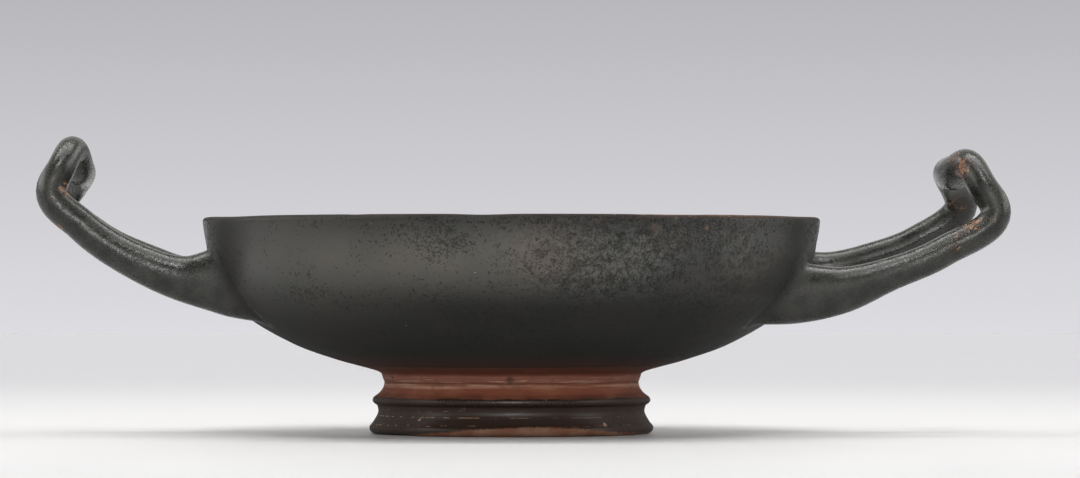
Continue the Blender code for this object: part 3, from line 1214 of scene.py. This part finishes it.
    @cached_property
    def dullness(self) -> Value:
        """Is 1 where the gloss has lost its sheen."""
        at = self.at
        limb = at.angle.bell(1.4, 0.7) * at.height.step(40.0, 34.0) * at.outside
        under = at.height.step(47.0, 32.0) * at.height.step(14.0, 19.0) * limb.between(1.0, 0.7)
        flank = at.outside * at.x.step(46.0, 60.0) * at.height.step(54.0, 46.0) * at.height.step(34.0, 40.0)
        beside = abs(at.x).bell(77.0, 6.5) * at.radius.step(88.5, 86.0) * at.outside
        collar = at.height.step(56.4, 57.4) * at.angle.bell(0.0, 0.4) * at.outside * 0.6
        heel = at.height.step(11.5, 10.5) * abs(at.angle).step(0.5, 0.9)
        return under.or_more(flank, beside * 0.9, collar, heel) * (1 - at.handle)

    @cached_property
    def slip_roughness(self) -> Value:
        """Gives the roughness of the gloss."""
        at = self.at
        gloss = self.gloss
        rough = at.noise(8.0, detail=3.0).between(-0.08, 0.08) + gloss.sheen
        rough = at.lip.blend(self.dullness.blend(rough, gloss.matt), gloss.matt)
        rough = rough + at.handle * -0.16 + at.height.bell(9.3, 1.4) * -0.1
        pebbled = at.handle.or_more(at.foot) * self.grain.step(0.44, 0.64)
        for cover, share, roughness in (
            (pebbled, 0.5, gloss.grainy),
            (at.crease, 0.5, gloss.pressed),
            (self.marks, 0.9, gloss.dull),
        ):
            rough = (cover * share).blend(rough, roughness)
        return rough

    @cached_property
    def relief(self) -> Value:
        """Gives the height of the fine relief, in millimetres."""
        at = self.at
        swell = at.noise(5.0).between(-0.05, 0.05) * at.handle.blend(0.35, 1.6)
        turned = at.wheel_noise(along=1.2, across=1.3, detail=3.0).between(-1.0, 1.0)
        wheel = turned * self.bare.blend(self.wheel_lines, self.wheel_lines * 5) * (1 - at.handle)
        calm = at.point.bench.math("SUBTRACT", 1.0, at.near(*self.knob_reflection_spots), clamp=True)
        coarse = at.handle.or_more(at.foot * 0.35) * calm
        pebbles = self.grain.between(-1.0, 1.0) * coarse.blend(0.012, 0.032)
        cut = self.marks * (1 - self.bare) * -0.02
        sand = self.bare * at.noise(0.45).between(-0.03, 0.03)
        return swell + wheel + pebbles + cut + self.worn * -0.03 + sand


@dataclass
class Kylix:
    """The whole cup: the turned clay and its two handles, joined in one piece and dressed."""

    cup: TurnedCup = field(default_factory=TurnedCup)
    handles: tuple[LoopHandle, ...] = (
        LoopHandle(
            name="left_handle",
            side=Side.LEFT,
            knots=(
                Knot(60, 39.4, 22, 14, 19.6, rise=-0.2),
                Knot(77, 42.1, 22, 12.5, 19.6, rise=-0.2),
                Knot(90, 42.8, 21.5, 10.2, 12.7, rise=-0.2),
                Knot(102, 47.35, 21, 9.3, 10.4, rise=0.0),
                Knot(117.5, 56.6, 19.5, 9, 9.3, rise=-1.7),
                Knot(125.7, 65.5, 18.5, 9, 8.7, rise=-2.6),
                Knot(122.75, 71.1, 16.5, 8.8, 8.0, rise=-4.2, lag=0.7),
                Knot(120.6, 74.7, 11, 7.9, 7.9, rise=-6.6, lag=0.8),
                Knot(119.9, 73.6, 0, 8.8, 9.0),
            ),
        ),
        LoopHandle(
            name="right_handle",
            side=Side.RIGHT,
            knots=(
                Knot(60, 40.5, 26, 14, 16, rise=4),
                Knot(77, 41.1, 25.5, 12.5, 16.9, rise=4.6),
                Knot(90, 42.1, 24.5, 9.8, 12.9, rise=4.6, lag=1),
                Knot(102, 46.2, 22.5, 8.8, 9.3, rise=4.2, lag=3),
                Knot(115.5, 51.7, 21, 8.6, 8.7, rise=3.0, lag=4.8),
                Knot(129.3, 63.3, 18.5, 9.0, 8.9, rise=2.6, lag=6.2, swell=1.0),
                Knot(127.0, 67.8, 16.5, 9.2, 8.6, rise=-0.4, lag=4.2, swell=0.9),
                Knot(124.5, 72.7, 11.5, 9.0, 9.2, rise=-1.9, lag=3.2, swell=2.0),
                Knot(122.8, 72.0, 0, 9.6, 9.6),
            ),
            seed=40.0,
        ),
    )
    weld: float = 0.02
    seam_reach: float = 3.0
    seam_passes: int = 10
    seam_narrowing: float = 0.6
    handle_from: float = -2.0
    handle_blend: float = 6.0
    wall_blend: float = 3.0
    crease_reach: float = 2.2
    outside_blend: float = 0.15
    foot_top: float = 18.0

    def build(self) -> bpy.types.Object:
        """Turns the cup, bends the handles, joins them into one closed skin and dresses it.

        Returns:
            The whole cup.
        """
        whole = self.cup.build()
        core = self.cup.build_core()
        LOG.info("turned cup: %d faces", len(whole.data.polygons))
        cup_mark, bar_mark = (bpy.data.materials.new(name) for name in ("cup_mark", BAR_MARK))
        whole.data.materials.append(cup_mark)
        whole.data.materials.append(bar_mark)
        for handle in self.handles:
            bar = handle.build(self.cup)
            LOG.info("%s: %d faces", handle.name, len(bar.data.polygons))
            bar.data.materials.append(bar_mark)
            merge(bar, Merge.TRIM, core)
            merge(whole, Merge.JOIN, bar)
            bpy.data.objects.remove(bar)
        bpy.data.objects.remove(core)
        self._smear_seams(whole)
        whole.data.materials.clear()
        whole.data.materials.append(FiredSkin().build())
        whole.data.shade_smooth()
        return whole

    def _smear_seams(self, whole: bpy.types.Object) -> None:
        """Smooths the clay where the handles meet the wall, and notes the cup's parts on its points.

        Args:
            whole: The joined cup. Its faces still tell by their material which of them came from a bar.
        """
        bm = bmesh.new()
        bm.from_mesh(whole.data)
        bmesh.ops.remove_doubles(bm, verts=bm.verts, dist=self.weld * MM)
        for name in MARKED_PARTS:
            bm.verts.layers.float.new(name)
        bar_slot = whole.data.materials.find(BAR_MARK)
        away = self._distances(bm, bar_slot)
        for step in range(self.seam_passes):
            reach = self.seam_reach * (1 - self.seam_narrowing * step / self.seam_passes)
            near = [vert for vert, gap in away.items() if gap < reach]
            axes = {f"use_axis_{axis}": True for axis in "xyz"}
            bmesh.ops.smooth_vert(bm, verts=near, factor=0.5, **axes)
        bm.normal_update()
        self._note_parts(bm, bar_slot, away)
        for face in bm.faces:
            face.material_index = 0
        bm.to_mesh(whole.data)
        bm.free()

    def _distances(self, bm: bmesh.types.BMesh, bar_slot: int) -> Distances:
        """Measures how far each point is from the seam between a bar and the wall.

        Args:
            bm: The joined cup.
            bar_slot: The material slot of the faces that came from a bar.

        Returns:
            The distance of each vertex, in millimetres.
        """
        seam = []
        for edge in bm.edges:
            from_bar = [face.material_index == bar_slot for face in edge.link_faces]
            if len(from_bar) == 2 and from_bar[0] != from_bar[1]:
                seam += edge.verts
        tree = kdtree.KDTree(len(seam))
        for index, vert in enumerate(seam):
            tree.insert(vert.co, index)
        tree.balance()
        return {vert: tree.find(vert.co)[2] / MM for vert in bm.verts}

    def _note_parts(self, bm: bmesh.types.BMesh, bar_slot: int, away: Distances) -> None:
        """Writes the marked parts on the points: the handles, the creases at their roots, and the outer face.

        Args:
            bm: The joined cup.
            bar_slot: The material slot of the faces that came from a bar.
            away: The distance of each vertex from the seam, in millimetres.
        """
        handle, crease, outside = (bm.verts.layers.float[name] for name in MARKED_PARTS)
        eye = Vector((self.cup.axis_x, 0, self.cup.height + self.cup.headroom)) * MM
        for vert, gap in away.items():
            if any(face.material_index == bar_slot for face in vert.link_faces):
                vert[handle] = smooth_step(gap, self.handle_from, self.handle_blend)
            else:
                vert[handle] = 1 - smooth_step(gap, self.handle_from, self.wall_blend)
            vert[crease] = 1 - smooth_step(gap, 0.0, self.crease_reach)
            facing = vert.normal.dot((vert.co - eye).normalized())
            vert[outside] = smooth_step(facing, -self.outside_blend, self.outside_blend)
            if vert.co.z < self.foot_top * MM:
                vert[outside] = 1.0


@dataclass(frozen=True)
class SoftPanel:
    """A soft box far off, seen in one direction. Its half sizes are the tangents of the angles it spans."""

    name: str
    direction: Triple
    half_width: float
    half_height: float
    strength: float
    edge: float = 0.35

    def glow(self, gaze: Value) -> Value:
        """Lays the panel's glow on the surroundings.

        Args:
            gaze: The direction looked in.

        Returns:
            How bright it is in that direction.
        """
        ahead = Vector(self.direction).normalized()
        across = Vector((0, 1, 0)) if abs(ahead.x) > 0.5 else Vector((1, 0, 0))
        across = (across - ahead * across.dot(ahead)).normalized()
        towards, sideways, upwards = (
            gaze.bench.vectors("DOT_PRODUCT", gaze, axis, output="Value")
            for axis in (ahead, across, ahead.cross(across))
        )
        near = towards.or_more(1e-3)
        share = towards.step(0.0, 0.05)
        for along, half in ((sideways, self.half_width), (upwards, self.half_height)):
            share = share * abs(along / near).step(half, half * (1 - self.edge))
        return share * self.strength


@dataclass(frozen=True)
class Studio:
    """The pale table, the soft lights and the camera. Lengths are in metres."""

    camera_place: Triple = (-0.0034, -1.44, 0.04106)
    camera_aim: Triple = (0.00452, 0.0, 0.05382)
    lens: float = 173.33
    sensor: float = 36.0
    clip: tuple[float, float] = (0.05, 50)
    table_radius: float = 3.0
    table_roughness: float = 0.42
    table_specular: float = 0.5
    # The table's tones paint a pool of light: lighter near the cup, darker far off.
    table_tones: tuple[Colour, Colour] = (shade(0.52, 0.52, 0.52 * 1.01), shade(0.367, 0.367, 0.367 * 1.06))
    table_fade: float = 0.92
    lamp_place: Triple = (0.0, -0.28, 0.8)
    lamp_size: tuple[float, float] = (0.5, 0.25)
    lamp_power: float = 1.0
    strip_span: tuple[float, float] = (-0.0137, 0.1633)
    strip_glow: tuple[float, float] = (0.752, 0.068)
    wall_colour: Colour = shade(0.985, 0.975, 1.022)
    lamp_colour: Colour = shade(1.0, 0.99, 0.97)
    panels: tuple[SoftPanel, ...] = (
        SoftPanel("overhead", (0, 0.04, 1), 0.95, 0.19, 5.4, edge=0.5),
        SoftPanel("tube", (0, 0.26, 1), 0.95, 0.055, 16.2, edge=0.5),
        SoftPanel("key", (0.02, -0.62, 1), 0.13, 0.10, 26.0),
        SoftPanel("left", (-1, 0.1, 0.42), 0.65, 0.3, 3.3),
        SoftPanel("right", (1, 0.1, 0.42), 0.65, 0.3, 3.3),
        SoftPanel("window", (0.0, -1, 0.24), 0.16, 0.2, 10.0),
        SoftPanel("front", (0.0, -1, 0.36), 0.9, 0.3, 1.3),
        SoftPanel("backdrop", (0, 1, 0.5), 1.6, 0.5, 0.9),
    )

    def build(self) -> None:
        """Sets up the table, the lights, the surroundings and the camera."""
        self._table()
        self._lamp()
        self._surroundings()
        self._camera()

    @staticmethod
    def _aimed(obj: bpy.types.Object, place: Triple, aim: Triple) -> None:
        """Links an object to the scene, at a place and turned towards another."""
        bpy.context.scene.collection.objects.link(obj)
        obj.location = place
        obj.rotation_euler = (Vector(aim) - Vector(place)).to_track_quat("-Z", "Y").to_euler()

    def _camera(self) -> None:
        """Places the camera level with the cup, in front of it."""
        data = bpy.data.cameras.new("camera")
        data.lens = self.lens
        data.sensor_width = self.sensor
        data.clip_start, data.clip_end = self.clip
        camera = bpy.data.objects.new("camera", data)
        self._aimed(camera, self.camera_place, self.camera_aim)
        bpy.context.scene.camera = camera

    def _table(self) -> None:
        """Lays the wide pale table top, its colour painted lighter under the cup than far away as a painted
        pool of light.
        """
        bm = bmesh.new()
        bmesh.ops.create_circle(bm, cap_ends=True, segments=128, radius=self.table_radius)
        table = as_object("table", bm)
        material = bpy.data.materials.new("pale_table")
        material.use_nodes = True
        shader = material.node_tree.nodes["Principled BSDF"]
        bench = Bench(material.node_tree)
        place = bench.node("ShaderNodeTexCoord", {}, "Object")
        # Painted pool of light: the colour fades from the near tone to the far tone.
        far = bench.vectors("LENGTH", place, output="Value").step(0.0, self.table_fade)
        bench.feed(shader.inputs["Base Color"], far.mix(*self.table_tones))
        shader.inputs["Roughness"].default_value = self.table_roughness
        shader.inputs["Specular IOR Level"].default_value = self.table_specular
        table.data.materials.append(material)

    def _lamp(self) -> None:
        """Hangs a small soft box just above the cup, which brightens the middle of the table."""
        data = bpy.data.lights.new("near_soft_box", "AREA")
        data.shape = "RECTANGLE"
        data.size, data.size_y = self.lamp_size
        data.energy = self.lamp_power
        self._aimed(bpy.data.objects.new("near_soft_box", data), self.lamp_place, (0, 0, 0))

    def _surroundings(self) -> None:
        """Gives the studio a pale strip along the horizon, dark walls above it, and the far soft boxes."""
        world = bpy.data.worlds.new("studio")
        world.use_nodes = True
        bpy.context.scene.world = world
        bench = Bench(world.node_tree)
        gaze = bench.node("ShaderNodeTexCoord", {}, "Generated")
        _, towards_back, upwards = gaze.parts()
        strip = dict(zip(("From Min", "From Max", "To Min", "To Max"), (*self.strip_span, *self.strip_glow)))
        total = bench.node("ShaderNodeMapRange", {"Value": upwards, **strip})
        ahead = towards_back.step(0.3, -0.3) * upwards.step(0.0, 0.08)
        above = upwards.step(0.1, 0.28).or_more(ahead)
        for panel in self.panels:
            total = total + above * panel.glow(gaze)
        background = world.node_tree.nodes["Background"]
        colour = upwards.step(0.08, 0.2).mix(self.wall_colour, self.lamp_colour)
        bench.feed(background.inputs["Color"], colour)
        bench.feed(background.inputs["Strength"], total)


def main() -> None:
    """Builds the studio and the cup, and reports each piece."""
    logging.basicConfig(level=logging.INFO, format="%(name)s: %(message)s")
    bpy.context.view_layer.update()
    bpy.context.scene.view_settings.view_transform = "Standard"
    Studio().build()
    whole = Kylix().build()
    whole.name = "kylix"
    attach(whole, "root")
    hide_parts(CUP_NODE)
    LOG.info("kylix: %d faces", len(whole.data.polygons))


if __name__ == "__main__":
    main()
